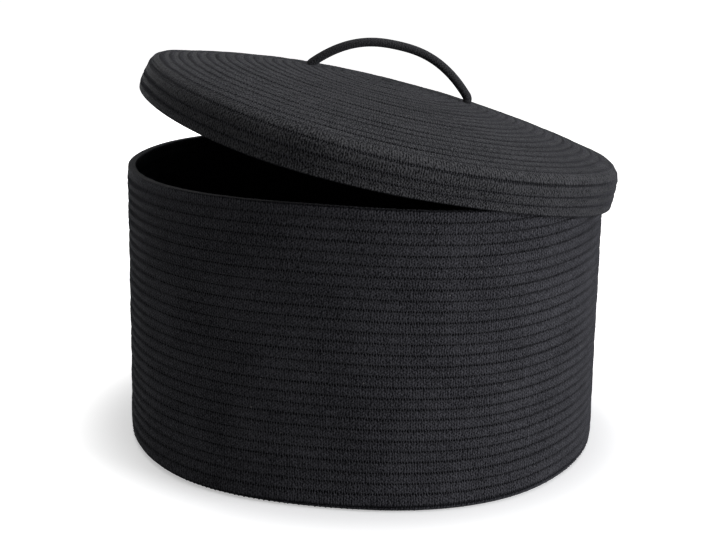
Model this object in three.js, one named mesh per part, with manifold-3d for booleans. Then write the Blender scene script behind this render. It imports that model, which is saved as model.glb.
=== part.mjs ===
// Laundry hamper: a round basket of coiled, sewn cotton rope with a loose domed lid of the same
// rope. The lid lies tilted open on the basket's right-hand rim and carries an arched cord handle.
// Millimetres, +Z up. The origin is the middle of the basket's underside, on the floor.

import * as THREE from 'three';
import { mergeVertices } from 'three/addons/utils/BufferGeometryUtils.js';
import ManifoldModule from 'manifold-3d';

// The rope and how its rows lie
const ROW_PITCH = 10;
const ROW_GAP = 0.6;
const ROPE_THICKNESS = 8;
const ROPE_FLAT = 4.4;
const EYE_RADIUS = 4.8;

// The basket
const BASKET_RADIUS = 239;
const BASKET_HEIGHT = 280;
const CORNER_RADIUS = 7;

// The lid, which caps the rim like the lid of a hatbox
const LID_CLEARANCE = 1.2;
const LID_DOME_RISE = 23.5;
const SHOULDER_RADIUS = 11;
const RIM_SEAT = 2.9;
const SKIRT_DEPTH = 29;
const LID_TILT_DEG = 10.8;
const LID_TURN_DEG = 8;

// The handle cord, its two feet and the knots under the lid
const CORD_THICKNESS = 8.5;
const RIGHT_FOOT_REACH = 88;
const LEFT_FOOT_REACH = 74;
const HANDLE_RISE = 32.5;
const CORD_HOLE_CLEARANCE = 0.3;
const KNOT_RADIUS = 9;
const KNOT_HEIGHT = 15;
const KNOT_FULLNESS = 0.7;

// What lies against its neighbour keeps this gap to it.
const TOUCH_GAP = 0.3;

// How finely the round shapes are cut
const STEPS_PER_TURN = 20;
const COARSE_ROWS = 4;
const TAPER_STEPS = 3;
const TAPER_END_SIZE = 0.45;
const ARCH_STEPS = 20;
const CORD_SIDES = 8;
const ROUND_END_DEG = [80, 55, 28];
const KNOT_SIDES = 12;
const KNOT_STEPS = 6;
const MERGE_DISTANCE = 1e-4;

// Where the rope ends: at the back, +Y
const END_ANGLE = Math.PI / 2;

const HALF_ROW = (ROW_PITCH - ROW_GAP) / 2;
const HALF_ROPE = ROPE_THICKNESS / 2;
const CORD_RADIUS = CORD_THICKNESS / 2;
const STEP_ANGLE = (2 * Math.PI) / STEPS_PER_TURN;
const STEP_LENGTH = ROW_PITCH / STEPS_PER_TURN;

// The cross-section of one row, as [along the line of rows, outwards], in halves of its size:
// points towards the neighbouring rows and flats on the inner and outer side.
const FLAT_SHARE = ROPE_FLAT / 2 / HALF_ROW;
const ROW_SECTION = [
  [1, 0],
  [FLAT_SHARE, 1],
  [-FLAT_SHARE, 1],
  [-1, 0],
  [-FLAT_SHARE, -1],
  [FLAT_SHARE, -1],
];

// A line of rows is the curve that the middles of the rows follow in a cut through the axis.
// At the distance s along it, it gives radius r, height z, and its direction's angle: 0 points
// away from the axis, a quarter turn points up.

// The basket's line runs out along the base, round the bottom corner and up the wall. The wall
// has its full height where the rope starts to thin towards its end.
const wallLineRadius = BASKET_RADIUS - HALF_ROPE;
const baseLineLength = wallLineRadius - CORNER_RADIUS;
const cornerLength = (CORNER_RADIUS * Math.PI) / 2;
const wallFootHeight = HALF_ROPE + CORNER_RADIUS;
const wallLineLength = BASKET_HEIGHT - HALF_ROW - wallFootHeight + TAPER_STEPS * STEP_LENGTH;
const basketLineEnd = baseLineLength + cornerLength + wallLineLength;

function basketLine(s) {
  if (s <= baseLineLength) {
    return { r: s, z: HALF_ROPE, angle: 0 };
  }
  const along = s - baseLineLength;
  if (along <= cornerLength) {
    const angle = along / CORNER_RADIUS;
    const r = baseLineLength + CORNER_RADIUS * Math.sin(angle);
    const z = wallFootHeight - CORNER_RADIUS * Math.cos(angle);
    return { r, z, angle };
  }
  return { r: wallLineRadius, z: wallFootHeight + along - cornerLength, angle: Math.PI / 2 };
}

// The lid's line runs down a shallow dome, round the shoulder and down the skirt, which clears
// the outside of the basket's wall. It is written for the closed lid, round the lid's own axis.
const skirtLineRadius = BASKET_RADIUS + LID_CLEARANCE + HALF_ROPE;
const lidOuterRadius = skirtLineRadius + HALF_ROPE;
const shoulderMiddleRadius = skirtLineRadius - SHOULDER_RADIUS;
const domeEdgeAngle = 2 * Math.atan(LID_DOME_RISE / skirtLineRadius);
const domeRadius = (shoulderMiddleRadius + SHOULDER_RADIUS * Math.sin(domeEdgeAngle)) / Math.sin(domeEdgeAngle);
const domeLength = domeRadius * domeEdgeAngle;
const shoulderTurn = Math.PI / 2 - domeEdgeAngle;
const shoulderLength = SHOULDER_RADIUS * shoulderTurn;
const lidLineEnd = domeLength + shoulderLength + SKIRT_DEPTH - HALF_ROW;

// The lid is pushed sideways until its skirt touches the wall on the side where it tilts. When it
// is closed, the round of its shoulder lies on the rim's outer edge and holds the underside of the
// dome's edge RIM_SEAT above the rim.
const lidShift = LID_CLEARANCE - TOUCH_GAP;
const rimFromLidAxis = wallLineRadius + lidShift;
const undersideAtShoulder = (SHOULDER_RADIUS - HALF_ROPE) / Math.cos(domeEdgeAngle);
const undersideDrop = (rimFromLidAxis - shoulderMiddleRadius) * Math.tan(domeEdgeAngle);
const shoulderMiddleHeight = BASKET_HEIGHT + RIM_SEAT - undersideAtShoulder + undersideDrop;
const domeMiddleHeight = shoulderMiddleHeight + (SHOULDER_RADIUS - domeRadius) * Math.cos(domeEdgeAngle);
const lidBottom = shoulderMiddleHeight - SKIRT_DEPTH;
const tiltHeight = lidBottom + HALF_ROW;

function lidLine(s) {
  if (s <= domeLength) {
    const angle = s / domeRadius;
    const r = domeRadius * Math.sin(angle);
    return { r, z: domeMiddleHeight + domeRadius * Math.cos(angle), angle: -angle };
  }
  const along = s - domeLength;
  if (along <= shoulderLength) {
    const angle = domeEdgeAngle + along / SHOULDER_RADIUS;
    const r = shoulderMiddleRadius + SHOULDER_RADIUS * Math.sin(angle);
    return { r, z: shoulderMiddleHeight + SHOULDER_RADIUS * Math.cos(angle), angle: -angle };
  }
  const z = shoulderMiddleHeight - (along - shoulderLength);
  return { r: skirtLineRadius, z, angle: -Math.PI / 2 };
}

// The stops of a coil, from the distance `from` to `to` along its line. Each turn moves one row
// along the line. They are counted back from the rope's end, so neighbouring rows share angles.
// The innermost rows take every second stop.
function coilStops(lineEnd, from, to) {
  const stops = [];
  const first = Math.round((lineEnd - to) / STEP_LENGTH);
  const last = Math.round((lineEnd - from) / STEP_LENGTH);
  for (let k = last; k >= first; k -= 1) {
    const s = lineEnd - k * STEP_LENGTH;
    const coarse = s < COARSE_ROWS * ROW_PITCH;
    if (!coarse || k % 2 === 0) {
      stops.push({ s, turn: END_ANGLE - k * STEP_ANGLE, size: 1 });
    }
  }
  return stops;
}

// Shortens one end of a coil by half of the gap where two lengths of rope meet end to end.
function trimEnd(stop, line, sense) {
  const share = TOUCH_GAP / 2 / line(stop.s).r;
  stop.turn += sense * share;
  stop.s += (sense * share * ROW_PITCH) / (2 * Math.PI);
}

// Thins the last stops of a coil, so that the rope's end lies down on the row below it.
function taperEnd(stops) {
  for (let i = 0; i < TAPER_STEPS; i += 1) {
    const stop = stops[stops.length - 1 - i];
    stop.size = TAPER_END_SIZE + ((1 - TAPER_END_SIZE) * i) / TAPER_STEPS;
    stop.s -= (1 - stop.size) * HALF_ROW;
  }
}

// The outline of the rope at one stop, as points in space. `outwards` is 1 where the outside of
// the coil lies to the right of the line's direction and -1 where it lies to the left. The rope
// is pressed flat where it would reach below the floor.
function rowOutline(line, stop, outwards) {
  const { r, z, angle } = line(stop.s);
  const centre = new THREE.Vector2(r, z);
  const forward = new THREE.Vector2(Math.cos(angle), Math.sin(angle));
  const outside = new THREE.Vector2(forward.y, -forward.x).multiplyScalar(outwards);
  return ROW_SECTION.map(([along, out]) => {
    const p = centre.clone();
    p.addScaledVector(forward, along * HALF_ROW * stop.size);
    p.addScaledVector(outside, out * HALF_ROPE * stop.size);
    const height = Math.max(p.y, 0);
    return new THREE.Vector3(p.x * Math.cos(stop.turn), p.x * Math.sin(stop.turn), height);
  });
}

// A closed body through a row of rings that have the same number of points, with flat ends.
function bodyThroughRings(rings) {
  const count = rings[0].length;
  const points = rings.flat();
  const faces = [];
  for (let i = 0; i + 1 < rings.length; i += 1) {
    for (let j = 0; j < count; j += 1) {
      const a = i * count + j;
      const b = i * count + ((j + 1) % count);
      faces.push([a, b, a + count], [b, b + count, a + count]);
    }
  }
  const lastRing = (rings.length - 1) * count;
  for (let j = 1; j + 1 < count; j += 1) {
    faces.push([0, j + 1, j], [lastRing, lastRing + j, lastRing + j + 1]);
  }
  const volume = faces.reduce((sum, [a, b, c]) => {
    return sum + points[a].dot(new THREE.Vector3().crossVectors(points[b], points[c]));
  }, 0);
  const outwardFaces = volume > 0 ? faces : faces.map(([a, b, c]) => [a, c, b]);
  const geometry = new THREE.BufferGeometry().setFromPoints(points);
  geometry.setIndex(outwardFaces.flat());
  return geometry;
}

// Joins and cuts of closed bodies
const manifold = await ManifoldModule();
manifold.setup();

function toSolid(geometry) {
  const bare = geometry.clone();
  bare.deleteAttribute('normal');
  bare.deleteAttribute('uv');
  const merged = mergeVertices(bare, MERGE_DISTANCE);
  return new manifold.Manifold(new manifold.Mesh({
    numProp: 3,
    vertProperties: new Float32Array(merged.attributes.position.array),
    triVerts: new Uint32Array(merged.index.array),
  }));
}

function toGeometry(solid) {
  const mesh = solid.getMesh();
  const geometry = new THREE.BufferGeometry();
  geometry.setAttribute('position', new THREE.BufferAttribute(mesh.vertProperties, 3));
  geometry.setIndex(new THREE.BufferAttribute(mesh.triVerts, 1));
  return geometry;
}

// An upright round bar between two heights
function uprightBar(radius, sides, low, high, x) {
  const bar = new THREE.CylinderGeometry(radius, radius, high - low, sides);
  bar.rotateX(Math.PI / 2);
  bar.translate(x, 0, (low + high) / 2);
  return bar;
}

// The least gap between each row of a coil and the next, measured on points of their outlines
function leastRowGap(line, stops, outwards) {
  const outlines = stops.map((stop) => {
    const ring = rowOutline(line, stop, outwards);
    const middles = ring.map((p, i) => p.clone().lerp(ring[(i + 1) % ring.length], 0.5));
    return ring.concat(middles);
  });
  let least = Infinity;
  stops.forEach((stop, i) => {
    stops.forEach((other, j) => {
      if (Math.abs(other.turn - stop.turn - 2 * Math.PI) < STEP_ANGLE * 1.5) {
        for (const p of outlines[i]) {
          for (const q of outlines[j]) {
            least = Math.min(least, p.distanceTo(q));
          }
        }
      }
    });
  });
  return least;
}

// Cotton rope, dyed black
function cotton(color) {
  return new THREE.MeshStandardMaterial({ color, roughness: 0.95, metalness: 0 });
}

function named(name, geometry, color) {
  const mesh = new THREE.Mesh(geometry, cotton(color));
  mesh.name = name;
  return mesh;
}

// The basket: a flat coil for the base, and the same rope climbing from it as the wall
const basketStart = ROW_PITCH / 2;
const baseStops = coilStops(basketLineEnd, basketStart, baseLineLength);
const wallStops = coilStops(basketLineEnd, baseLineLength, basketLineEnd);
const baseGap = leastRowGap(basketLine, baseStops, 1);
const wallGap = leastRowGap(basketLine, wallStops, 1);
trimEnd(baseStops[baseStops.length - 1], basketLine, -1);
trimEnd(wallStops[0], basketLine, 1);
taperEnd(wallStops);

function makeBaseCoil() {
  const coil = bodyThroughRings(baseStops.map((stop) => rowOutline(basketLine, stop, 1)));
  const eye = uprightBar(EYE_RADIUS, CORD_SIDES, 0, ROPE_THICKNESS, 0);
  return toGeometry(toSolid(coil).add(toSolid(eye)));
}

function makeWallCoil() {
  return bodyThroughRings(wallStops.map((stop) => rowOutline(basketLine, stop, 1)));
}

// The lid: a domed coil for the top, and the same rope running down from it as the skirt
const lidStart = ROW_PITCH / 2;
const topStops = coilStops(lidLineEnd, lidStart, domeLength);
const skirtStops = coilStops(lidLineEnd, domeLength, lidLineEnd);
const topGap = leastRowGap(lidLine, topStops, -1);
const skirtGap = leastRowGap(lidLine, skirtStops, -1);
trimEnd(topStops[topStops.length - 1], lidLine, -1);
trimEnd(skirtStops[0], lidLine, 1);
taperEnd(skirtStops);

// The cord goes down between two rows of the lid: the gap nearest to the wished distance from
// the middle, on the side where the coil has turned to `side` (1 at +X, -1 at -X).
function cordFoot(side, reach) {
  const sideTurn = side > 0 ? 0 : Math.PI;
  const turnsToSide = (END_ANGLE - sideTurn) / (2 * Math.PI);
  const rowOnSide = lidLineEnd - turnsToSide * ROW_PITCH;
  const wished = domeRadius * Math.asin(reach / domeRadius);
  const rows = Math.round((rowOnSide - wished) / ROW_PITCH - 0.5) + 0.5;
  const footDistance = rowOnSide - rows * ROW_PITCH;
  const { r, z, angle } = lidLine(footDistance);
  const rise = HALF_ROPE / Math.cos(angle);
  const under = lidLine(footDistance + KNOT_RADIUS / 2).z - rise;
  return { x: side * r, top: z + rise, under };
}

const rightFoot = cordFoot(1, RIGHT_FOOT_REACH);
const leftFoot = cordFoot(-1, LEFT_FOOT_REACH);
const feetTop = Math.max(rightFoot.top, leftFoot.top);
const handleAxisHeight = feetTop + CORD_RADIUS + TOUCH_GAP;
const lidCrownHeight = domeMiddleHeight + domeRadius;

function makeLidTopCoil() {
  const coil = bodyThroughRings(topStops.map((stop) => rowOutline(lidLine, stop, -1)));
  const low = lidCrownHeight - HALF_ROPE;
  const high = lidCrownHeight + HALF_ROPE;
  let solid = toSolid(coil).add(toSolid(uprightBar(EYE_RADIUS, CORD_SIDES, low, high, 0)));
  for (const foot of [rightFoot, leftFoot]) {
    const radius = (CORD_RADIUS + CORD_HOLE_CLEARANCE) / Math.cos(Math.PI / CORD_SIDES);
    const hole = uprightBar(radius, CORD_SIDES, foot.under - ROW_PITCH, foot.top + ROW_PITCH, foot.x);
    solid = solid.subtract(toSolid(hole));
  }
  return toGeometry(solid);
}

function makeLidSkirtCoil() {
  return bodyThroughRings(skirtStops.map((stop) => rowOutline(lidLine, stop, -1)));
}

// One end of the handle cord: straight down through the lid, and knotted under it
function makeCordKnot(foot) {
  const knotTop = foot.under - TOUCH_GAP;
  const profile = [new THREE.Vector2(0, feetTop), new THREE.Vector2(CORD_RADIUS, feetTop)];
  profile.push(new THREE.Vector2(CORD_RADIUS, knotTop));
  for (let i = 1; i < KNOT_STEPS; i += 1) {
    const around = (Math.PI * i) / KNOT_STEPS;
    const bulge = Math.sin(around) ** KNOT_FULLNESS;
    const radius = CORD_RADIUS + (KNOT_RADIUS - CORD_RADIUS) * bulge;
    profile.push(new THREE.Vector2(radius, knotTop - (KNOT_HEIGHT * (1 - Math.cos(around))) / 2));
  }
  profile.push(new THREE.Vector2(CORD_RADIUS, knotTop - KNOT_HEIGHT));
  profile.push(new THREE.Vector2(0, knotTop - KNOT_HEIGHT));
  const knot = new THREE.LatheGeometry(profile.reverse(), KNOT_SIDES);
  knot.rotateX(Math.PI / 2);
  knot.translate(foot.x, 0, 0);
  return toGeometry(toSolid(knot));
}

// The handle: the cord arched from foot to foot, with a round end over each, so that it can
// lean to either side. It is drawn about the line through its two feet.
function makeHandleArch() {
  const halfSpan = (rightFoot.x - leftFoot.x) / 2;
  const middle = (rightFoot.x + leftFoot.x) / 2;
  const archRadius = (halfSpan ** 2 + HANDLE_RISE ** 2) / (2 * HANDLE_RISE);
  const halfTurn = Math.asin(halfSpan / archRadius);
  const ringAt = (turn, advance, radius) => {
    const across = new THREE.Vector3(Math.sin(turn), 0, Math.cos(turn));
    const along = new THREE.Vector3(Math.cos(turn), 0, -Math.sin(turn));
    const centre = new THREE.Vector3(middle, 0, HANDLE_RISE - archRadius);
    centre.addScaledVector(across, archRadius).addScaledVector(along, advance);
    const points = [];
    for (let j = 0; j < CORD_SIDES; j += 1) {
      const around = (2 * Math.PI * (j + 0.5)) / CORD_SIDES;
      const p = centre.clone().addScaledVector(across, radius * Math.cos(around));
      p.y += radius * Math.sin(around);
      points.push(p);
    }
    return points;
  };
  const roundEnd = (end, degrees) => degrees.map((degree) => {
    const a = THREE.MathUtils.degToRad(degree);
    return ringAt(end * halfTurn, end * CORD_RADIUS * Math.sin(a), CORD_RADIUS * Math.cos(a));
  });
  const bend = [];
  for (let i = 0; i <= ARCH_STEPS; i += 1) {
    bend.push(ringAt(halfTurn * ((2 * i) / ARCH_STEPS - 1), 0, CORD_RADIUS));
  }
  const ends = [...ROUND_END_DEG].reverse();
  return bodyThroughRings([...roundEnd(-1, ROUND_END_DEG), ...bend, ...roundEnd(1, ends)]);
}

// The basket stands still. The lid turns on the lowest row of its skirt, on the side that lies
// LID_TURN_DEG from +X towards the back, while its handle spans along X.
const basket = new THREE.Group();
basket.add(named('base_coil', makeBaseCoil(), 0x1b1c1f));
basket.add(named('wall_coil', makeWallCoil(), 0x1d1e22));

const restingSide = new THREE.Group();
restingSide.rotation.z = THREE.MathUtils.degToRad(LID_TURN_DEG);

const tiltedLid = new THREE.Group();
tiltedLid.position.set(lidOuterRadius - lidShift, 0, tiltHeight);
tiltedLid.rotation.y = THREE.MathUtils.degToRad(LID_TILT_DEG);
restingSide.add(tiltedLid);

const lid = new THREE.Group();
lid.position.set(-lidOuterRadius, 0, -tiltHeight);
lid.rotation.z = -THREE.MathUtils.degToRad(LID_TURN_DEG);
lid.add(named('lid_top_coil', makeLidTopCoil(), 0x222327));
lid.add(named('lid_skirt_coil', makeLidSkirtCoil(), 0x1f2023));
lid.add(named('handle_knot_right', makeCordKnot(rightFoot), 0x1c1d20));
lid.add(named('handle_knot_left', makeCordKnot(leftFoot), 0x1c1d20));
tiltedLid.add(lid);

const handleArch = named('handle_cord', makeHandleArch(), 0x1c1d20);
handleArch.position.set(0, 0, handleAxisHeight);
lid.add(handleArch);

const hamper = new THREE.Group();
hamper.add(basket, restingSide);

const gaps = [baseGap, wallGap, topGap, skirtGap].map((gap) => gap.toFixed(2));
console.log(`least gap between rows, mm: base ${gaps[0]}, wall ${gaps[1]}, lid ${gaps[2]}, skirt ${gaps[3]}`);

export default hamper;
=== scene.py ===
"""Round laundry hamper of coiled, sewn cotton rope, its domed lid tilted open on the right-hand rim.

Each rope is one tube wound in a spiral, and the zigzag sewing is one thread wound between its rows.
Shapes are worked out in millimetres and written to the meshes in metres.
"""
import math

import bpy
import numpy as np
from mathutils import Matrix, Vector


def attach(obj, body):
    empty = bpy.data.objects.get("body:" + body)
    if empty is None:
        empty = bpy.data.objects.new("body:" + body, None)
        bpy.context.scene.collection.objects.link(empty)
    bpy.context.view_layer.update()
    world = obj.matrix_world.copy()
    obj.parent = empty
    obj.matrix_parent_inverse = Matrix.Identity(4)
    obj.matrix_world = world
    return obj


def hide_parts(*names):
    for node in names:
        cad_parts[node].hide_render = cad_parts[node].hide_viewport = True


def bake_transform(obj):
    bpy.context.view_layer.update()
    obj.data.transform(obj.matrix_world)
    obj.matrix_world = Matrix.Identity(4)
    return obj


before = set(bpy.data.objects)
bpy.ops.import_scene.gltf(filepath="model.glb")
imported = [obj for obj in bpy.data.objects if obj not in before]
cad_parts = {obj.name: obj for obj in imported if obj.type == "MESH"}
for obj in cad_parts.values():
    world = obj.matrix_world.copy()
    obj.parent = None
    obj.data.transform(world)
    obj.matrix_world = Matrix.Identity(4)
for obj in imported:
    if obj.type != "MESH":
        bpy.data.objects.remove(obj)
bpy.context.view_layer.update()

TAU = 2 * math.pi
MM = 0.001

# Rope: its rows, its section, how far apart the rings of its tube lie, how it wanders in its row and
# outwards, and the taper of its outer end, which lies at the back
ROW_PITCH = 10.0
ROPE_HALF_THICK = 4.0
ROPE_HALF_WIDE = 5.12
ROPE_SQUARENESS = 8.0
ROPE_SIDES = 24
CORNER_CARE = 3.0
RING_SPACING = 12.5
RING_SPACING_LEAST = 1.2
RING_SHARE_OF_RADIUS = 0.2
LINE_SAMPLES = 60000
WANDER_WAVES = ((2.3, 0.5), (5.7, 0.3), (13.1, 0.2))
WANDER_ALONG = 0.25
WANDER_OUT = 0.4
END_TURN = math.pi / 2
TAPER_TURN = math.radians(40)
TAPER_SIZE = 0.42
TAPER_CURVE = 0.7
TAPER_TIP = (0.97, 0.8, 0.45)

# Eye in the middle of each coil: where the rope starts, and the cushion of its tucked-in end
EYE_START = 3.0
EYE_OVERLAP = 1.2
EYE_LEAST = 1.5
EYE_RETURN = 0.7
EYE_HALF_THICK = 3.7
EYE_SQUARENESS = 0.4
EYE_SIDES = 36
EYE_RINGS = 15
EYE_POLE = 1.56
EYE_MAP_RADIUS = 5.3
EYE_MAP_LENGTH = 5
EYE_MAP_START = 4

# Basket and lid, as in the CAD part
BASKET_RADIUS = 239.0
BASKET_HEIGHT = 280.0
CORNER_RADIUS = 4.6
LID_CLEARANCE = 1.2
LID_DOME_RISE = 23.5
SHOULDER_RADIUS = 11.0
RIM_SEAT = 2.9
SKIRT_DEPTH = 29.0
LID_TILT = math.radians(10.8)
LID_TURN = math.radians(8)
HALF_ROW = 4.7
TOUCH_GAP = 0.3
WALL_OVER = 1.5
PIECE_OVERLAP = 0.02

# Handle cord
CORD_RADIUS = 4.5
RIGHT_FOOT_REACH = 88.0
LEFT_FOOT_REACH = 74.0
HANDLE_RISE = 38.5
HANDLE_CURVE = 2.4
FOOT_BEND = 6.0
FOOT_SHIFT = 2.5
FOOT_LENGTH = 6
CORD_SIDES = 16
CORD_RINGS = 260
CORD_SWAY = 0.15
CORD_SWAY_LENGTH = 21

# Knots: the size of the lump, how far its middle hangs under the lid, and the frayed end of the cord
KNOT_LUMP = (1.95, 1.95, 3.4)
KNOT_DROP = 9.5
KNOT_OPEN = 0.35
KNOT_POINTS = 90
KNOT_RINGS = 150
KNOT_SIDES = 12
KNOT_SMOOTHING = 4
KNOT_CORD_RADIUS = 3.7
KNOT_TIP_RADII = (4.1, 4.4, 4.3, 4.0, 3.2, 1.2)

# Sewing thread: its steps, its corners, and how unevenly it was sewn
SEWING_START = 6.0
THREAD_RADIUS = 0.48
THREAD_SIDES = 4
THREAD_SINK = 0.1
STITCH_STEP = 2.4
STITCH_REACH = 2.7
CORNER_HALF = 0.45
STITCH_UNEVEN_STEP = 0.35
STITCH_UNEVEN_REACH = 0.4
STITCH_UNEVEN_SINK = (-0.12, 0.08)
THREAD_MAP_STEP = 0.57
THREAD_GIRTH = 2.3

# The cotton, with lengths in centimetres of rope: the yarns' pitch and how far they wander, the strokes'
# scale along and across the rope; then the scales of noise in metres, and the flecks' sizes in their cells
YARN_PITCH = 0.24
YARN_WANDER_SCALE = 1.6
YARN_WANDER = 9.0
STROKE_SCALE = (8.5, 2.6, 1)
GRAIN_SCALE = 560
FUZZ_SCALE = 1500
BROAD_SCALE = 22
BROAD_SHADE = 0.6
MEAN_SHADE = 0.2
FLECK_LEAST = 0.03
FLECK_SPREAD = 0.05
FLECK_COLOUR = (0.19, 0.185, 0.18, 1)
RELIEF_YARNS = 0.25
RELIEF_GRAIN = 0.7
RELIEF_JACKET = 0.8
RELIEF_FUZZ = 0.35
BUMP_STRENGTH = 0.75
BUMP_DISTANCE = 0.0009
ROUGHNESS = 0.84
ROUGHNESS_FUZZ = 0.12
SHEEN_TINT = (0.75, 0.77, 0.85, 1)

wall_line_radius = BASKET_RADIUS - ROPE_HALF_THICK
base_line_length = wall_line_radius - CORNER_RADIUS
corner_length = CORNER_RADIUS * math.pi / 2
wall_foot = ROPE_HALF_THICK + CORNER_RADIUS
basket_end = base_line_length + corner_length + BASKET_HEIGHT - HALF_ROW - wall_foot + WALL_OVER

skirt_radius = BASKET_RADIUS + LID_CLEARANCE + ROPE_HALF_THICK
lid_outer_radius = skirt_radius + ROPE_HALF_THICK
shoulder_radius = skirt_radius - SHOULDER_RADIUS
dome_edge = 2 * math.atan(LID_DOME_RISE / skirt_radius)
dome_radius = (shoulder_radius + SHOULDER_RADIUS * math.sin(dome_edge)) / math.sin(dome_edge)
dome_length = dome_radius * dome_edge
shoulder_length = SHOULDER_RADIUS * (math.pi / 2 - dome_edge)
lid_end = dome_length + shoulder_length + SKIRT_DEPTH - HALF_ROW
lid_shift = LID_CLEARANCE - TOUCH_GAP
seat = (SHOULDER_RADIUS - ROPE_HALF_THICK) / math.cos(dome_edge)
seat -= (wall_line_radius + lid_shift - shoulder_radius) * math.tan(dome_edge)
shoulder_height = BASKET_HEIGHT + RIM_SEAT - seat
dome_middle = shoulder_height + (SHOULDER_RADIUS - dome_radius) * math.cos(dome_edge)
tilt_height = shoulder_height - SKIRT_DEPTH + HALF_ROW


def basket_line(s):
    """The middles of the basket's rows in a cut through its axis, at the distance s along them: out along
    the base, round a quarter circle, up the wall. Gives radius, height and the direction's angle."""
    s = np.asarray(s, float)
    around = np.clip((s - base_line_length) / CORNER_RADIUS, 0, math.pi / 2)
    up = np.maximum(s - base_line_length - corner_length, 0)
    r = np.minimum(s, base_line_length) + CORNER_RADIUS * np.sin(around)
    z = wall_foot - CORNER_RADIUS * np.cos(around) + up
    return r, z, around


def lid_line(s):
    """The same for the closed lid: down a shallow ball's cap, round the shoulder and down the skirt."""
    s = np.asarray(s, float)
    cap = np.clip(s / dome_radius, None, dome_edge)
    around = dome_edge + np.clip((s - dome_length) / SHOULDER_RADIUS, 0, math.pi / 2 - dome_edge)
    down = np.maximum(s - dome_length - shoulder_length, 0)
    past = s > dome_length
    r = np.where(past, shoulder_radius + SHOULDER_RADIUS * np.sin(around), dome_radius * np.sin(cap))
    z_cap = dome_middle + dome_radius * np.cos(cap)
    z_side = shoulder_height + SHOULDER_RADIUS * np.cos(around) - down
    return r, np.where(past, z_side, z_cap), -np.where(past, around, cap)


def wander(turn, seed):
    """Hand-made unevenness along a rope: three sine waves of unrelated lengths, from -1 to 1."""
    return sum(a * np.sin(f * turn + seed * (i + 1.7)) for i, (f, a) in enumerate(WANDER_WAVES))


def on_rope(coil, turn, along, out):
    """A point given by the rope's turn, and by how far it lies from the rope's middle along the line of
    rows and outwards. The rope's middle is the line of rows at one row pitch for each full turn. The way
    along the rows follows the line, so that a soft rope fills its row where the line bends."""
    line, end, side, seed = coil
    s = end - (END_TURN - turn) / TAU * ROW_PITCH
    r, z, angle = line(s + WANDER_ALONG * wander(turn, seed) + along)
    out = (out + WANDER_OUT * wander(turn, seed + 5)) * side
    x = r + np.sin(angle) * out
    return np.stack([x * np.cos(turn), x * np.sin(turn), z - np.cos(angle) * out], -1)


def spaced_turns(coil, start, stop, spacing, closer=False):
    """Turns between two distances along the line of rows, a given length of rope apart, or closer in the
    small rows near the middle. Gives the length of rope up to each turn too."""
    line, end = coil[:2]
    s = np.linspace(start, stop, LINE_SAMPLES)
    turn = END_TURN - (end - s) / ROW_PITCH * TAU
    r = np.maximum(line(s)[0], EYE_LEAST)
    rope = np.concatenate([[0], np.cumsum(np.diff(turn) * (r[1:] + r[:-1]) / 2)])
    step = np.full_like(r, spacing)
    if closer:
        step = np.minimum(step, np.maximum(RING_SHARE_OF_RADIUS * r, RING_SPACING_LEAST))
    count = np.concatenate([[0], np.cumsum(np.diff(rope) / step[1:])])
    wanted = np.linspace(0, count[-1], int(count[-1]) + 1)
    return np.interp(wanted, count, turn), np.interp(wanted, count, rope)


def tube_faces(rings, sides):
    """Quads round and along a tube, and quads that close both ends."""
    i, j = np.meshgrid(np.arange(rings - 1), np.arange(sides), indexing="ij")
    k = (j + 1) % sides
    body = np.stack([i * sides + j, i * sides + k, (i + 1) * sides + k, (i + 1) * sides + j], -1)
    fan = np.array([[0, a, a + 1, a + 2] for a in range(1, sides - 2, 2)])
    return np.concatenate([body.reshape(-1, 4), fan[:, ::-1], fan + (rings - 1) * sides])


def mesh_piece(name, points, faces, uv, material, body, replaced=()):
    """A finished piece: points in millimetres, faces out, its own map, and the body that it rides on."""
    mesh = bpy.data.meshes.new(name)
    points = points * MM
    a, b, c = (points[faces[:, n]] for n in (0, 1, 2))
    d = points[faces[:, 3]]
    volume = np.einsum("ij,ij->i", a, np.cross(b, c) + np.cross(c, d)).sum()
    if volume < 0:
        faces, uv = faces[:, ::-1], uv[:, ::-1]
    mesh.from_pydata(points, [], faces)
    layer = mesh.uv_layers.new(name="rope")
    layer.data.foreach_set("uv", np.ascontiguousarray(uv, np.float32).ravel())
    mesh.shade_smooth()
    mesh.materials.append(material)
    piece = bpy.data.objects.new(name, mesh)
    bpy.context.scene.collection.objects.link(piece)
    if body:
        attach(piece, body)
    if replaced:
        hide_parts(*replaced)
    return piece


def tube_map(length, round_it, girth, faces):
    """The map of a tube, in centimetres of rope: its length across, and up the way round it to each corner
    of its section, out of its whole girth."""
    sides = len(round_it)
    i, j = faces // sides, faces % sides
    last = (j.max(1) == sides - 1) & (j.min(1) == 0)
    up = np.where(last[:, None] & (j == 0), girth + round_it[0], round_it[j])
    return np.stack([length[i], up], -1) / 10


def rope_section(sides):
    """A rounded oblong, |x/a|^n + |y/b|^n = 1, as offsets along the line of rows and outwards. Its corners
    lie closer together where it bends. Gives the way round it to each corner and its girth too."""
    a = np.linspace(0, TAU, 1441)
    power = 2 / ROPE_SQUARENESS
    along = ROPE_HALF_WIDE * np.sign(np.cos(a)) * np.abs(np.cos(a)) ** power
    out = ROPE_HALF_THICK * np.sign(np.sin(a)) * np.abs(np.sin(a)) ** power
    passed = np.concatenate([[0], np.cumsum(np.hypot(np.diff(along), np.diff(out)))])
    heading = np.unwrap(np.arctan2(np.diff(out), np.diff(along)))
    bent = passed + CORNER_CARE * np.concatenate([[0, 0], np.cumsum(np.abs(np.diff(heading)))])
    even = (np.arange(sides) + 0.5) / sides * bent[-1]
    return *(np.interp(even, bent, v) for v in (along, out, passed)), passed[-1]


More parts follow.
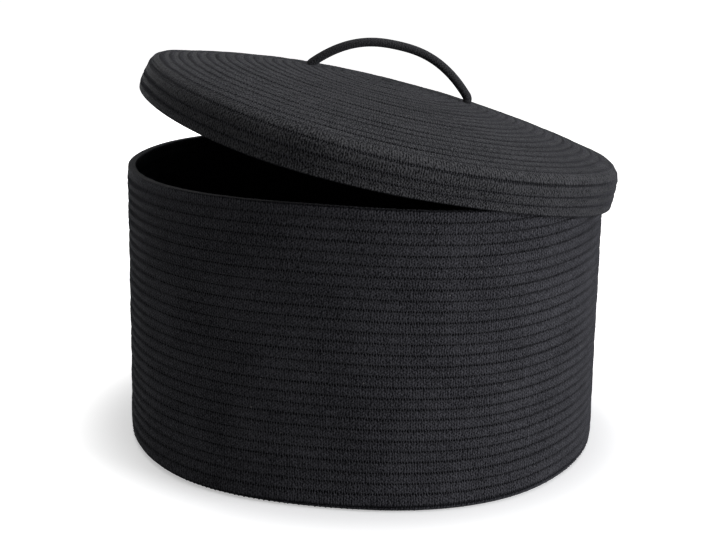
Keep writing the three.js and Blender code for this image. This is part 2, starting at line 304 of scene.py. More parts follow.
def rope_height(along):
    """How far the rope's surface lies from its middle, beside its crown."""
    return ROPE_HALF_THICK * (1 - np.abs(along / ROPE_HALF_WIDE) ** ROPE_SQUARENESS) ** (1 / ROPE_SQUARENESS)


def rope_tube(coil, start, stop, tapered):
    """Rings of the rope's section from one distance to another. A tapered end thins over its last stretch
    and lies down on the row beside it."""
    turn, length = spaced_turns(coil, start, stop, RING_SPACING, closer=True)
    size = np.ones_like(turn)
    if tapered:
        left = (turn[-1] - turn) / TAPER_TURN
        size = TAPER_SIZE + (1 - TAPER_SIZE) * np.clip(left, 0, 1) ** TAPER_CURVE
        size[-len(TAPER_TIP):] *= TAPER_TIP
    along, out = rope_section(ROPE_SIDES)[:2]
    centre = -(1 - size[:, None]) * HALF_ROW
    points = on_rope(coil, turn[:, None], centre + along * size[:, None], out * size[:, None])
    return points, length


def stitch_thread(coil, start, stop, face):
    """The zigzag thread between each row and the next: its corners lie by turns on one row and on the next,
    on the outer (1) or inner (-1) face, and its straight legs bridge the groove. Each corner is two points
    side by side along the rope. A four-sided tube, path + radius (across cos a + higher sin a), follows
    them."""
    turn, length = spaced_turns(coil, start, stop - ROW_PITCH, STITCH_STEP)
    rng = np.random.default_rng(len(turn))
    s = coil[1] - (END_TURN - turn) / TAU * ROW_PITCH
    r = np.maximum(coil[0](s)[0], SEWING_START)
    turn = turn + rng.uniform(-STITCH_UNEVEN_STEP, STITCH_UNEVEN_STEP, len(turn)) / r
    odd = np.arange(len(turn)) % 2
    beside = ROW_PITCH / 2 - STITCH_REACH
    along = np.where(odd, -beside, beside)
    along = along + rng.uniform(-STITCH_UNEVEN_REACH, STITCH_UNEVEN_REACH, len(turn))
    height = rope_height(along) - THREAD_SINK + rng.uniform(*STITCH_UNEVEN_SINK, len(turn))
    turn = (turn[:, None] + np.array([-CORNER_HALF, CORNER_HALF]) / r[:, None]).ravel()
    odd, along, height = (np.repeat(v, 2) for v in (odd, along, height))
    path = on_rope(coil, turn + odd * TAU, along, face * height)
    ahead = np.gradient(path, axis=0)
    ahead /= np.linalg.norm(ahead, axis=1, keepdims=True)
    higher = on_rope(coil, turn + odd * TAU, along, face * (height + 1)) - path
    across = np.cross(ahead, higher)
    across /= np.linalg.norm(across, axis=1, keepdims=True)
    higher = np.cross(across, ahead)
    corner = np.arange(THREAD_SIDES) / THREAD_SIDES * TAU
    ring = across[:, None] * np.cos(corner)[:, None] + higher[:, None] * np.sin(corner)[:, None]
    return path[:, None] + ring * THREAD_RADIUS, np.repeat(length, 2)


# The basket's soft shape, every 20 degrees round the axis from -200 to 140: how far the wall stands out at
# half its height, how much more at the rim than there, and how far its rows lie above their level.
SHAPE_ANGLES = np.radians(np.arange(-200, 141, 20))
SHAPE_BELL = math.radians(17)
WALL_OUT = np.array([
    0, 0.3, 2.6, 5.0, 1.5, -5.5, 2.0, 9.0, 4.5, 1.3, 1.3, 1.2, 0.8, 0.5, 0, 0.2, 0.7, 1.0])
RIM_OUT = np.array([
    2.5, 1.5, 0, -2.9, -4.0, -2.0, -1.9, -2.0, -0.8, -1.5, -3.0, -3.0, -1.5, 0, 0, 1.2, 2.7, 3.5])
ROWS_UP = np.array([
    0.6, -0.4, -0.5, -0.1, 1.4, 2.4, -0.3, -3.0, -1.8, -0.6, 0, 0.2, 0.2, 0, 0, 0, 0.8, 1.0])
ROWS_UP_FULL = 150
RIM_SAG = 0.7

# The lowest rows' spread at the front, and its extra share at the left of the front
SPREAD_HEIGHT = 70
FRONT_SPREAD = 4.5
LEFT_SPREAD = 2.5
LEFT_SPREAD_ANGLE = math.radians(128)
LEFT_SPREAD_BELL = math.radians(22)

# The base stays round up to one radius, and the moves are whole a given way further out
STILL_RADIUS = 100
STILL_FADE = 130

# The lid's softness: where its sides begin and end, and the moves of its edge and, over the skirt, of its top
LID_SIDE_START = 60
LID_SIDE_REACH = 180
LID_HALF = 240
LID_TOP_FADE = 25
LID_MOVED_RIGHT = 1.5
LEFT_IN, LEFT_IN_TOP = 8.5, 3
FRONT_DROOP, FRONT_DROOP_TOP = 9, 3
BACK_DROOP = 9
RIGHT_DROOP = 7
LEFT_UP, LEFT_UP_TOP = 6.5, 3.5
TOP_WAVE = 2


def basket_shape(p):
    """The basket's soft unevenness, as moves of a few millimetres: the three lists blended round the axis
    with bell curves 17 degrees wide. The moves fade towards the middle of the base, and the rows' rise and
    fall fades towards the floor. At the front the lowest rows spread a little under the wall's weight, most
    at its left."""
    x, y, z = p[..., 0], p[..., 1], p[..., 2]
    r = np.hypot(x, y)
    apart = np.arctan2(y, x)[..., None] - SHAPE_ANGLES
    apart = (apart + math.pi) % TAU - math.pi
    near = np.exp(-((apart / SHAPE_BELL) ** 2))
    near /= near.sum(-1, keepdims=True)
    half_height = BASKET_HEIGHT / 2
    out = near @ WALL_OUT + (near @ RIM_OUT) * (z - half_height) / half_height
    front_left = np.exp(-(((np.arctan2(y, x) + LEFT_SPREAD_ANGLE) / LEFT_SPREAD_BELL) ** 2))
    spread = FRONT_SPREAD * np.clip(-y / np.maximum(r, 1), 0, 1) + LEFT_SPREAD * front_left
    out += spread * np.clip(1 - z / SPREAD_HEIGHT, 0, 1) ** 2
    up = (near @ ROWS_UP) * np.clip(z / ROWS_UP_FULL, 0, 1) - RIM_SAG * np.clip(z / BASKET_HEIGHT, 0, 1)
    scale = 1 + out * np.clip((r - STILL_RADIUS) / STILL_FADE, 0, 1) ** 2 / np.maximum(r, 1)
    return np.stack([x * scale, y * scale, np.maximum(z + up, 0)], -1)


def lid_shape(p):
    """The closed lid's softness: its edge droops at the front, back and right, as the second power of the
    distance from its middle, and at the left it stands a little up and in. Above the skirt the front droops
    more, the left stands further in, and half a sine wave from left to right lifts the left of the top and
    lowers its right."""
    x, y, z = p[..., 0], p[..., 1], p[..., 2]
    right = np.clip((x - LID_SIDE_START) / LID_SIDE_REACH, 0, None) ** 2
    left = np.clip((-x - LID_SIDE_START) / LID_SIDE_REACH, 0, None) ** 2
    front = np.clip(-y / LID_HALF, 0, None) ** 2
    back = np.clip(y / LID_HALF, 0, None) ** 1.5
    top = np.clip((z - tilt_height) / LID_TOP_FADE, 0, 1)
    wave = np.sin(np.clip(x / LID_HALF, -1, 1) * math.pi)
    moved_x = x + LID_MOVED_RIGHT + (LEFT_IN + LEFT_IN_TOP * top ** 2) * left
    moved_z = z - (FRONT_DROOP + FRONT_DROOP_TOP * top) * front - BACK_DROOP * back - RIGHT_DROOP * right
    moved_z += (LEFT_UP - LEFT_UP_TOP * top) * left - TOP_WAVE * top * wave
    return np.stack([moved_x, y, moved_z], -1)


def turned(p, angle):
    """Points turned about the basket's axis."""
    c, s = math.cos(angle), math.sin(angle)
    x, y = p[..., 0], p[..., 1]
    return np.stack([x * c - y * s, x * s + y * c, p[..., 2]], -1)


def lid_place(p):
    """The closed lid's points turned about the hinge line to where the lid rests. The hinge line lies
    LID_TURN from the right-hand side towards the back."""
    p = turned(p, -LID_TURN)
    x = p[..., 0] - lid_outer_radius
    z = p[..., 2] - tilt_height
    c, s = math.cos(LID_TILT), math.sin(LID_TILT)
    p = np.stack([x * c + z * s + lid_outer_radius - lid_shift, p[..., 1], z * c - x * s + tilt_height], -1)
    return turned(p, LID_TURN)


# Materials

def socket(tree, value, node_input):
    """Joins a socket to an input, or writes a plain value in it."""
    if hasattr(value, "is_linked"):
        tree.links.new(value, node_input)
    elif value is not None:
        node_input.default_value = value


def maths(tree, operation, a, b=None, c=None):
    """One Math node."""
    node = tree.nodes.new("ShaderNodeMath")
    node.operation = operation
    for value, place in zip((a, b, c), node.inputs):
        socket(tree, value, place)
    return node.outputs[0]


def noise(tree, vector, scale, detail):
    """One Noise Texture node."""
    node = tree.nodes.new("ShaderNodeTexNoise")
    socket(tree, vector, node.inputs["Vector"])
    node.inputs["Scale"].default_value = scale
    node.inputs["Detail"].default_value = detail
    return node.outputs[0]


def colour_mix(tree, factor, a, b):
    """One colour Mix node."""
    node = tree.nodes.new("ShaderNodeMix")
    node.data_type = "RGBA"
    for value, title in ((factor, "Factor"), (a, "A"), (b, "B")):
        socket(tree, value, node.inputs[title])
    return node.outputs["Result"]


def split_map(tree, vector):
    """The length along the rope and the way round it, out of a map."""
    node = tree.nodes.new("ShaderNodeSeparateXYZ")
    tree.links.new(vector, node.inputs[0])
    return node.outputs[0], node.outputs[1]


def faded(tree, value, low, high, at_low, at_high):
    """One Map Range node: a smooth step from one value to another between two places."""
    node = tree.nodes.new("ShaderNodeMapRange")
    node.interpolation_type = "SMOOTHSTEP"
    titles = ("Value", "From Min", "From Max", "To Min", "To Max")
    for title, given in zip(titles, (value, low, high, at_low, at_high)):
        socket(tree, given, node.inputs[title])
    return node.outputs[0]


def new_group(name, vectors, numbers, outputs):
    """An empty node group. Its inputs are vectors, by name, and numbers, by name and value, and its outputs
    are numbers, by name."""
    tree = bpy.data.node_groups.new(name, "ShaderNodeTree")
    for title in vectors:
        tree.interface.new_socket(name=title, in_out="INPUT", socket_type="NodeSocketVector")
    for title, value in numbers.items():
        made = tree.interface.new_socket(name=title, in_out="INPUT", socket_type="NodeSocketFloat")
        made.default_value = value
    for title in outputs:
        tree.interface.new_socket(name=title, in_out="OUTPUT", socket_type="NodeSocketFloat")
    return tree, tree.nodes.new("NodeGroupInput"), tree.nodes.new("NodeGroupOutput")


def place_group(tree, group, inputs):
    """One node of a shared group in a material, with its inputs joined or set."""
    node = tree.nodes.new("ShaderNodeGroup")
    node.node_tree = group
    for title, value in inputs.items():
        socket(tree, value, node.inputs[title])
    return node


def braid_group():
    """A rope's braided jacket. Two sets of slanting strands cross: each is a round wave across its own
    direction, and by turns one lies over the other, as on a chequerboard of lozenges."""
    tree, given, made = new_group(
        "braided jacket", ["Map"], {"Strand length": 0.22, "Strand width": 0.3}, ["Height"])
    length, way_round = split_map(tree, given.outputs["Map"])
    u = maths(tree, "DIVIDE", length, given.outputs["Strand length"])
    v = maths(tree, "DIVIDE", way_round, given.outputs["Strand width"])
    rise, fall = maths(tree, "ADD", u, v), maths(tree, "SUBTRACT", u, v)
    one = maths(tree, "ABSOLUTE", maths(tree, "SINE", maths(tree, "MULTIPLY", rise, math.pi)))
    two = maths(tree, "ABSOLUTE", maths(tree, "SINE", maths(tree, "MULTIPLY", fall, math.pi)))
    cells = maths(tree, "ADD", maths(tree, "FLOOR", rise), maths(tree, "FLOOR", fall))
    over = maths(tree, "PINGPONG", cells, 1)
    first = maths(tree, "MULTIPLY", one, maths(tree, "MULTIPLY_ADD", over, 0.5, 0.5))
    second = maths(tree, "MULTIPLY", two, maths(tree, "MULTIPLY_ADD", over, -0.5, 1))
    tree.links.new(maths(tree, "MAXIMUM", first, second), made.inputs[0])
    return tree


def grain_group():
    """The rope's uneven cotton. Yarns lie across the rope side by side: a sine wave along it, whose phase
    wanders with noise. Longer strokes and a finer grain in every direction, both noise spread about 0, are
    added to them."""
    tree, given, made = new_group(
        "cotton grain", ["Map", "Place"], {"Yarns": 0.2, "Strokes": 1.4, "Grain": 1.0}, ["Shade", "Relief"])
    stretch = tree.nodes.new("ShaderNodeMapping")
    stretch.inputs["Scale"].default_value = STROKE_SCALE
    tree.links.new(given.outputs["Map"], stretch.inputs["Vector"])
    strokes = maths(tree, "SUBTRACT", noise(tree, stretch.outputs[0], 1.0, 1), 0.5)
    grain = maths(tree, "SUBTRACT", noise(tree, given.outputs["Place"], GRAIN_SCALE, 1), 0.5)
    length = split_map(tree, given.outputs["Map"])[0]
    wandering = noise(tree, given.outputs["Map"], YARN_WANDER_SCALE, 1)
    along = maths(tree, "MULTIPLY", length, TAU / YARN_PITCH)
    yarns = maths(tree, "SINE", maths(tree, "MULTIPLY_ADD", wandering, YARN_WANDER, along))
    shade = maths(tree, "MULTIPLY", grain, given.outputs["Grain"])
    shade = maths(tree, "MULTIPLY_ADD", strokes, given.outputs["Strokes"], shade)
    shade = maths(tree, "MULTIPLY_ADD", yarns, given.outputs["Yarns"], shade)
    tree.links.new(shade, made.inputs["Shade"])
    relief = maths(tree, "MULTIPLY_ADD", grain, RELIEF_GRAIN, strokes)
    tree.links.new(maths(tree, "MULTIPLY_ADD", yarns, RELIEF_YARNS, relief), made.inputs["Relief"])
    return tree


def groove_shade_group():
    """Painted shade in the grooves between rows: 1 near the two lines along a rope's sides, where it lies
    against the rows beside it, 0 on its faces. The way round the rope is folded at a quarter of its girth,
    which gives the distance from these lines."""
    tree, given, made = new_group(
        "painted shade between rows", ["Map"], {"Girth": 3.4, "Near": 0.34, "Far": 0.50}, ["Mask"])
    way_round = split_map(tree, given.outputs["Map"])[1]
    fold = maths(tree, "PINGPONG", way_round, maths(tree, "MULTIPLY", given.outputs["Girth"], 0.25))
    tree.links.new(faded(tree, fold, given.outputs["Near"], given.outputs["Far"], 1, 0), made.inputs[0])
    return tree


def lint_group():
    """Tiny pale fibres caught on dark cotton: in a few of the cells of a cell pattern, a short fleck."""
    tree, given, made = new_group("lint", ["Place"], {"Cells": 110.0, "Share": 0.3}, ["Fleck"])
    cells = tree.nodes.new("ShaderNodeTexVoronoi")
    cells.feature = "F1"
    tree.links.new(given.outputs["Place"], cells.inputs["Vector"])
    tree.links.new(given.outputs["Cells"], cells.inputs["Scale"])
    split = tree.nodes.new("ShaderNodeSeparateColor")
    tree.links.new(cells.outputs["Color"], split.inputs[0])
    chosen = maths(tree, "LESS_THAN", split.outputs[0], given.outputs["Share"])
    size = maths(tree, "MULTIPLY_ADD", split.outputs[1], FLECK_SPREAD, FLECK_LEAST)
    near = maths(tree, "LESS_THAN", cells.outputs["Distance"], size)
    tree.links.new(maths(tree, "MULTIPLY", chosen, near), made.inputs[0])
    return tree


def cotton(name, dark, light, strand, weights, groove_shade=0):
    """Matt cotton: a braided jacket, strokes and grain, uneven dye, fine fuzz and a little lint, with a soft
    sheen, and painted shade in the grooves where rows meet. The strand is its length and width in centimetres,
    the weights are those of the jacket, the yarns, the strokes and the grain in the colour, and the last
    weight, for the grooves, is how much painted shade darkens the colour where rows meet."""
    material = bpy.data.materials.new(name)
    material.use_nodes = True
    tree = material.node_tree
    shader = tree.nodes["Principled BSDF"]
    place = tree.nodes.new("ShaderNodeTexCoord").outputs["Object"]
    rope = tree.nodes.new("ShaderNodeUVMap")
    rope.uv_map = "rope"
    rope = rope.outputs[0]
    jacket_weight, yarns, strokes, grains = weights
    jacket = place_group(
        tree, braided_jacket, {"Map": rope, "Strand length": strand[0], "Strand width": strand[1]}).outputs[0]
    grain = place_group(
        tree, cotton_grain, {"Map": rope, "Place": place, "Yarns": yarns, "Strokes": strokes, "Grain": grains})
    fleck = place_group(tree, lint, {"Place": place}).outputs[0]
    fuzz = noise(tree, place, FUZZ_SCALE, 2)
    broad = noise(tree, place, BROAD_SCALE, 2)
    dye = maths(tree, "MULTIPLY_ADD", broad, BROAD_SHADE, MEAN_SHADE - jacket_weight * BROAD_SHADE)
    shade = maths(tree, "MULTIPLY_ADD", jacket, jacket_weight, grain.outputs["Shade"])
    shade = maths(tree, "ADD", shade, dye)
    # Painted shade: the colour is darkened near the grooves where rows meet.
    if groove_shade:
        groove_shade_mask = place_group(tree, painted_groove_shade, {"Map": rope, "Girth": rope_girth / 10}).outputs[0]
        shade = maths(tree, "MULTIPLY_ADD", groove_shade_mask, -groove_shade, shade)
    colour = colour_mix(tree, fleck, colour_mix(tree, shade, (*dark, 1), (*light, 1)), FLECK_COLOUR)
    tree.links.new(colour, shader.inputs["Base Color"])
    height = maths(tree, "MULTIPLY_ADD", jacket, RELIEF_JACKET, grain.outputs["Relief"])
    height = maths(tree, "MULTIPLY_ADD", fuzz, RELIEF_FUZZ, height)
    bump = tree.nodes.new("ShaderNodeBump")
    bump.inputs["Strength"].default_value = BUMP_STRENGTH
    bump.inputs["Distance"].default_value = BUMP_DISTANCE
    tree.links.new(height, bump.inputs["Height"])
    tree.links.new(bump.outputs[0], shader.inputs["Normal"])
    socket(tree, maths(tree, "MULTIPLY_ADD", fuzz, ROUGHNESS_FUZZ, ROUGHNESS), shader.inputs["Roughness"])
    shader.inputs["Specular IOR Level"].default_value = 0.15
    shader.inputs["Sheen Weight"].default_value = 0.10
    shader.inputs["Sheen Roughness"].default_value = 0.5
    shader.inputs["Sheen Tint"].default_value = SHEEN_TINT
    return material


rope_girth = rope_section(ROPE_SIDES)[3]
braided_jacket, cotton_grain, lint, painted_groove_shade = braid_group(), grain_group(), lint_group(), groove_shade_group()
# The basket's and lid's ropes take painted shade in their grooves, set by the last weight.
basket_cotton = cotton(
    "black rope, basket", dark=(0.004, 0.004, 0.006), light=(0.080, 0.0795, 0.089), strand=(0.45, 0.31),
    weights=(0.6, 0.3, 2.0, 1.25), groove_shade=0.9)
lid_cotton = cotton(
    "black rope, lid", dark=(0.004, 0.004, 0.005), light=(0.083, 0.083, 0.087), strand=(0.45, 0.31),
    weights=(0.7, 0.35, 2.6, 1.6), groove_shade=1.3)
cord_cotton = cotton(
    "black cord, handle", dark=(0.012, 0.012, 0.013), light=(0.068, 0.068, 0.072), strand=(0.34, 0.267),
    weights=(0.7, 0.1, 0.8, 0.7))
thread_cotton = cotton(
    "black sewing thread", dark=(0.030, 0.030, 0.034), light=(0.112, 0.111, 0.122), strand=(0.05, 0.05),
    weights=(0.3, 0.0, 0.8, 0.8))

# Ropes and threads

basket_coil = (basket_line, basket_end, 1, 1.3)
lid_coil = (lid_line, lid_end, -1, 4.1)


def wind(name, coil, start, stop, dressing, replaced, tapered=False):
    """Winds one rope as a piece, which replaces its solid."""
    shape, material, body, slot = dressing
    points, length = rope_tube(coil, start, stop, tapered)
    faces = tube_faces(len(points), ROPE_SIDES)
    uv = tube_map(length, *rope_section(ROPE_SIDES)[2:], faces)
    mesh_piece(name, shape(points.reshape(-1, 3)), faces, uv, material, body, [replaced])


def tuck_start(name, coil, dressing):
    """The rope's first end, tucked into the eye of its coil: a cushion that closes the middle. Its edge is a
    spiral, r = a + one row pitch for each full turn, that lies a little under the first row, and it goes back
    to its start inside the rope. In a cut its radius is r cos^0.4 v where its height is c sin v."""
    shape, material, body, slot = dressing
    u = np.arange(EYE_SIDES) / EYE_SIDES * TAU
    edge = EYE_START - ROPE_HALF_WIDE + EYE_OVERLAP + u / TAU * ROW_PITCH
    edge = np.maximum(edge, EYE_LEAST)
    edge += np.clip(1 - u / EYE_RETURN, 0, 1) * (edge[-1] - edge[0])
    v = np.linspace(-EYE_POLE, EYE_POLE, EYE_RINGS)[:, None]
    wide = np.cos(v) ** EYE_SQUARENESS * edge
    place = END_TURN - (coil[1] - EYE_START) / ROW_PITCH * TAU + u
    middle = float(coil[0](0.0)[1])
    height = middle + EYE_HALF_THICK * np.sin(v) + 0 * u
    points = np.stack([np.cos(place) * wide, np.sin(place) * wide, height], -1)
    faces = tube_faces(EYE_RINGS, EYE_SIDES)
    girth = TAU * EYE_MAP_RADIUS
    uv = tube_map(EYE_MAP_LENGTH * v[:, 0], u * EYE_MAP_RADIUS + EYE_MAP_START, girth, faces)
    mesh_piece(name, shape(points.reshape(-1, 3)), faces, uv, material, body)


def sew(name, coil, start, stop, face, dressing):
    """Sews the rows of a coil together on one face, as a piece."""
    shape, _, body, slot = dressing
    points, length = stitch_thread(coil, start, stop, face)
    faces = tube_faces(len(points), THREAD_SIDES)
    uv = tube_map(length, np.arange(THREAD_SIDES) * THREAD_MAP_STEP, THREAD_GIRTH, faces)
    mesh_piece(name, shape(points.reshape(-1, 3)), faces, uv, thread_cotton, body)


def lid_rest(p):
    """The lid's soft shape, tilted to where it rests."""
    return lid_place(lid_shape(p))


basket_dressing = (basket_shape, basket_cotton, "basket", "basket_rope")
lid_dressing = (lid_rest, lid_cotton, "lid", "lid_rope")
wall_middle = (base_line_length + basket_end) / 2
base_seam_end = base_line_length + ROW_PITCH
base_end = base_line_length + PIECE_OVERLAP
top_end = dome_length + PIECE_OVERLAP

wind("basket_base_rope", basket_coil, EYE_START, base_end, basket_dressing, "base_coil")
wind("basket_wall_rope", basket_coil, base_line_length, basket_end, basket_dressing, "wall_coil", tapered=True)
wind("lid_top_rope", lid_coil, EYE_START, top_end, lid_dressing, "lid_top_coil")
wind("lid_skirt_rope", lid_coil, dome_length, lid_end, lid_dressing, "lid_skirt_coil", tapered=True)

tuck_start("basket_base_eye", basket_coil, basket_dressing)
tuck_start("lid_top_eye", lid_coil, lid_dressing)

for side, face in (("outside", 1), ("inside", -1)):
    sew(f"wall_stitches_{side}_low", basket_coil, base_line_length, wall_middle, face, basket_dressing)
    sew(f"wall_stitches_{side}_high", basket_coil, wall_middle - ROW_PITCH, basket_end, face, basket_dressing)
sew("base_stitches_below", basket_coil, SEWING_START, base_seam_end, 1, basket_dressing)
sew("base_stitches_inside", basket_coil, SEWING_START, base_seam_end, -1, basket_dressing)
sew("lid_stitches_above", lid_coil, SEWING_START, lid_end, 1, lid_dressing)
sew("lid_stitches_below", lid_coil, SEWING_START, lid_end, -1, lid_dressing)


# Handle

def cord_foot(side, reach):
    """Where the cord goes down between two rows of the lid: in the gap between rows that is nearest to its
    reach from the middle. Gives its place, the lid's top there and the lid's underside."""
    turns = (END_TURN - (0 if side > 0 else math.pi)) / TAU
    row = lid_end - turns * ROW_PITCH
    wished = dome_radius * math.asin(reach / dome_radius)
    rows = math.floor((row - wished) / ROW_PITCH) + 0.5
    r, z, angle = (float(v) for v in lid_line(row - rows * ROW_PITCH))
    return side * r - FOOT_SHIFT, z + ROPE_HALF_THICK / math.cos(angle), z - ROPE_HALF_THICK / math.cos(angle)


right_x, right_top, right_under = cord_foot(1, RIGHT_FOOT_REACH)
left_x, left_top, left_under = cord_foot(-1, LEFT_FOOT_REACH)
handle_middle = (right_x + left_x) / 2
feet_top = max(right_top, left_top)


def tube_along(path, radius, sides):
    """Rings round a path: at each point a circle square to the path, turned as little as possible."""
    ahead = np.gradient(path, axis=0)
    ahead /= np.linalg.norm(ahead, axis=1, keepdims=True)
    normal = np.cross(ahead[0], (0.0, 1.0, 0.0) if abs(ahead[0][1]) < 0.9 else (1.0, 0.0, 0.0))
    normals = [normal / np.linalg.norm(normal)]
    for a in ahead[1:]:
        n = normals[-1] - a * np.dot(a, normals[-1])
        normals.append(n / np.linalg.norm(n))
    normals = np.array(normals)
    across = np.cross(ahead, normals)
    a = np.arange(sides) / sides * TAU
    radius = np.broadcast_to(radius, len(path))[:, None, None]
    ring = normals[:, None] * np.cos(a)[:, None] + across[:, None] * np.sin(a)[:, None]
    return path[:, None] + radius * ring


def handle_path():
    """Straight up out of one hole, round a small bend, over an arch whose height falls as the distance from
    its middle to the power HANDLE_CURVE, and down the other hole."""
    half = (right_x - left_x) / 2
    slope = 0.6
    for _ in range(20):
        arch_half = half - FOOT_BEND * (1 - math.sin(slope))
        arch_rise = HANDLE_RISE - FOOT_BEND * math.cos(slope)
        slope = math.atan(arch_rise * HANDLE_CURVE / arch_half)
    turn = np.linspace(math.pi / 2, slope, 9)
    bend_x = -half + FOOT_BEND * (1 - np.sin(turn))
    bend_z = feet_top + FOOT_BEND * np.cos(turn)
    arch_x = np.linspace(-arch_half, 0, 40)[1:]
    arch_z = bend_z[-1] + arch_rise * (1 - np.abs(arch_x / arch_half) ** HANDLE_CURVE)
    foot_z = np.linspace(min(right_under, left_under) - FOOT_LENGTH, feet_top, 9)[:-1]
    x = np.concatenate([np.full(8, -half), bend_x, arch_x])
    z = np.concatenate([foot_z, bend_z, arch_z])
    x = np.concatenate([x, -x[-2::-1]])
    z = np.concatenate([z, z[-2::-1]])
    return np.stack([x + handle_middle, CORD_SWAY * np.sin(x / CORD_SWAY_LENGTH), z], -1)


def cord_piece(name, path, radius, sides, body, replaced):
    """A length of the handle's cord as a piece, round at its ends."""
    length = np.concatenate([[0], np.cumsum(np.linalg.norm(np.diff(path, axis=0), axis=1))])
    points = tube_along(path, radius, sides)
    faces = tube_faces(len(path), sides)
    girth = TAU * CORD_RADIUS
    uv = tube_map(length, np.arange(sides) * girth / sides, girth, faces)
    points = lid_place(points.reshape(-1, 3))
    return mesh_piece(name, points, faces, uv, cord_cotton, body, [replaced])


def along_path(path, places, wanted):
    """Points on a path at the wanted places, straight between its own points, whose places are given."""
    return np.stack([np.interp(wanted, places, path[:, n]) for n in range(3)], -1)


path = handle_path()
path = along_path(path, np.arange(len(path)), np.linspace(0, len(path) - 1, CORD_RINGS))
handle = cord_piece("handle_cord_braid", path, CORD_RADIUS, CORD_SIDES, None, "handle_cord")
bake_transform(handle)


def knot_path(x, under):
    """An overhand knot pulled up under the lid: a three-lobed knot's curve,
    (sin t + 2 sin 2t, cos t - 2 cos 2t, -sin 3t), made small, entered from above and left below."""
    t = np.linspace(KNOT_OPEN, TAU - KNOT_OPEN, KNOT_POINTS)
    lump = np.stack([np.sin(t) + 2 * np.sin(2 * t), np.cos(t) - 2 * np.cos(2 * t), -np.sin(3 * t)], -1)
    lump *= KNOT_LUMP
    lump += (x, 0, under - KNOT_DROP)
    above = np.array([[x, 0, under + 4], [x, 0, under + 1], [x + 0.5, -0.8, under - 2]])
    below = np.array([[x - 1.5, -1.0, under - 17], [x - 1.2, -0.6, under - 23], [x - 0.8, -0.2, under - 27]])
    path = np.concatenate([above, lump, below])
    u = np.concatenate([[0], np.cumsum(np.linalg.norm(np.diff(path, axis=0), axis=1))])
    path = along_path(path, u, np.linspace(0, u[-1], KNOT_RINGS))
    for _ in range(KNOT_SMOOTHING):
        path[1:-1] = (path[:-2] + 2 * path[1:-1] + path[2:]) / 4
    return path


thick = np.full(KNOT_RINGS, KNOT_CORD_RADIUS)
thick[-len(KNOT_TIP_RADII):] = KNOT_TIP_RADII
for side, x, under in (("right", right_x, right_under), ("left", left_x, left_under)):
    cord_piece(f"knot_{side}_cord", knot_path(x, under), thick, KNOT_SIDES, "lid", f"handle_knot_{side}")


# Floor, light and camera, in metres

FLOOR_HALF = 9
FLOOR_LIT = (0.55, 0.55, 0.55, 1)
FLOOR_SEEN = (0.9, 0.9, 0.9, 1)
GLOW_START, GLOW_END = 0.235, 0.36
GLOW_NEAR, GLOW_FAR = 0.42, 1.0
WORLD_LIGHT = 0.06
LAMP_AIM = (0, 0, 0.2)
CAMERA_PLACE = (0, -1.3617, 0.5174)
CAMERA_PITCH, CAMERA_ROLL, CAMERA_YAW = 14.66, 1.55, 0.27
CAMERA_LENS = 67.88
CAMERA_SENSOR = 36


def studio_floor():
    """A wide pale floor. For the camera it glows, faintly beside the basket and fully from a hand's width
    away, so that it is white outside the basket's own shadow."""
    mesh = bpy.data.meshes.new("studio_floor")
    corners = [(x * FLOOR_HALF, y * FLOOR_HALF, 0) for x, y in ((-1, -1), (1, -1), (1, 1), (-1, 1))]
    mesh.from_pydata(corners, [], [(0, 1, 2, 3)])
    material = bpy.data.materials.new("pale floor")
    material.use_nodes = True
    tree = material.node_tree
    shader = tree.nodes["Principled BSDF"]
    place = tree.nodes.new("ShaderNodeTexCoord").outputs["Object"]
    length = tree.nodes.new("ShaderNodeVectorMath")
    length.operation = "LENGTH"
    tree.links.new(place, length.inputs[0])
    glow = faded(tree, length.outputs["Value"], GLOW_START, GLOW_END, GLOW_NEAR, GLOW_FAR)
    seen = tree.nodes.new("ShaderNodeLightPath").outputs["Is Camera Ray"]
    socket(tree, maths(tree, "MULTIPLY", seen, glow), shader.inputs["Emission Strength"])
    tree.links.new(colour_mix(tree, seen, FLOOR_LIT, FLOOR_SEEN), shader.inputs["Base Color"])
    shader.inputs["Roughness"].default_value = 1
    shader.inputs["Specular IOR Level"].default_value = 0
    shader.inputs["Emission Color"].default_value = (1, 1, 1, 1)
    mesh.materials.append(material)
    floor = bpy.data.objects.new("studio_floor", mesh)
    bpy.context.scene.collection.objects.link(floor)


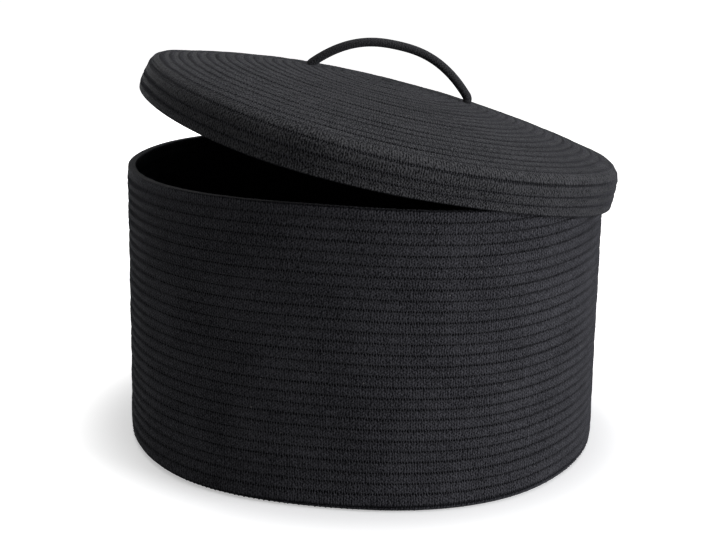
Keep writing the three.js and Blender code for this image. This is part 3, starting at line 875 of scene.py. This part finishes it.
def softbox(name, place, size, power, tint=(1, 1, 1)):
    """A lamp with a flat rectangular face at a place, turned to the basket."""
    lamp = bpy.data.lights.new(name, "AREA")
    lamp.shape = "RECTANGLE"
    lamp.size, lamp.size_y = size
    lamp.energy = power
    lamp.color = tint
    made = bpy.data.objects.new(name, lamp)
    made.location = place
    made.rotation_mode = "QUATERNION"
    made.rotation_quaternion = (Vector(LAMP_AIM) - Vector(place)).to_track_quat("-Z", "Y")
    bpy.context.scene.collection.objects.link(made)


def studio_world():
    """A dim even light all round, which the camera sees as white."""
    world = bpy.data.worlds.new("studio")
    bpy.context.scene.world = world
    world.use_nodes = True
    tree = world.node_tree
    rays = tree.nodes.new("ShaderNodeLightPath")
    strength = maths(tree, "MULTIPLY_ADD", rays.outputs["Is Camera Ray"], 1 - WORLD_LIGHT, WORLD_LIGHT)
    background = tree.nodes["Background"]
    background.inputs["Color"].default_value = (1, 1, 1, 1)
    socket(tree, strength, background.inputs["Strength"])


def set_camera():
    """The photograph's camera: 1.36 m in front, half a metre up, looking 14.7 degrees down, slightly rolled."""
    pitch, roll, yaw = (math.radians(v) for v in (CAMERA_PITCH, CAMERA_ROLL, CAMERA_YAW))
    ahead = Vector((0, math.cos(pitch), -math.sin(pitch)))
    up = Vector((0, math.sin(pitch), math.cos(pitch)))
    right = Vector((1, 0, 0))
    turn = Matrix.Rotation(yaw, 3, "Z")
    ahead, up, right = turn @ ahead, turn @ up, turn @ right
    c, s = math.cos(roll), math.sin(roll)
    right, up = right * c + up * s, up * c - right * s
    data = bpy.data.cameras.new("camera")
    data.sensor_width = CAMERA_SENSOR
    data.lens = CAMERA_LENS
    camera = bpy.data.objects.new("camera", data)
    matrix = Matrix((right, up, -ahead)).transposed().to_4x4()
    matrix.translation = CAMERA_PLACE
    camera.matrix_world = matrix
    bpy.context.scene.collection.objects.link(camera)
    bpy.context.scene.camera = camera


studio_floor()
studio_world()
softbox("key_right", place=(1.87, -0.84, 0.82), size=(1.15, 1.4), power=30.5, tint=(0.955, 0.96, 1.0))
softbox("top", place=(0.1, 0.1, 2.3), size=(1.8, 1.8), power=22)
softbox("rim_left", place=(-1.9, 0.8, 0.6), size=(0.9, 0.9), power=1)
softbox("back", place=(-1.2, 1.9, 0.75), size=(1.3, 0.9), power=15)
set_camera()
bpy.context.scene.view_settings.view_transform = "Standard"

bpy.context.view_layer.update()
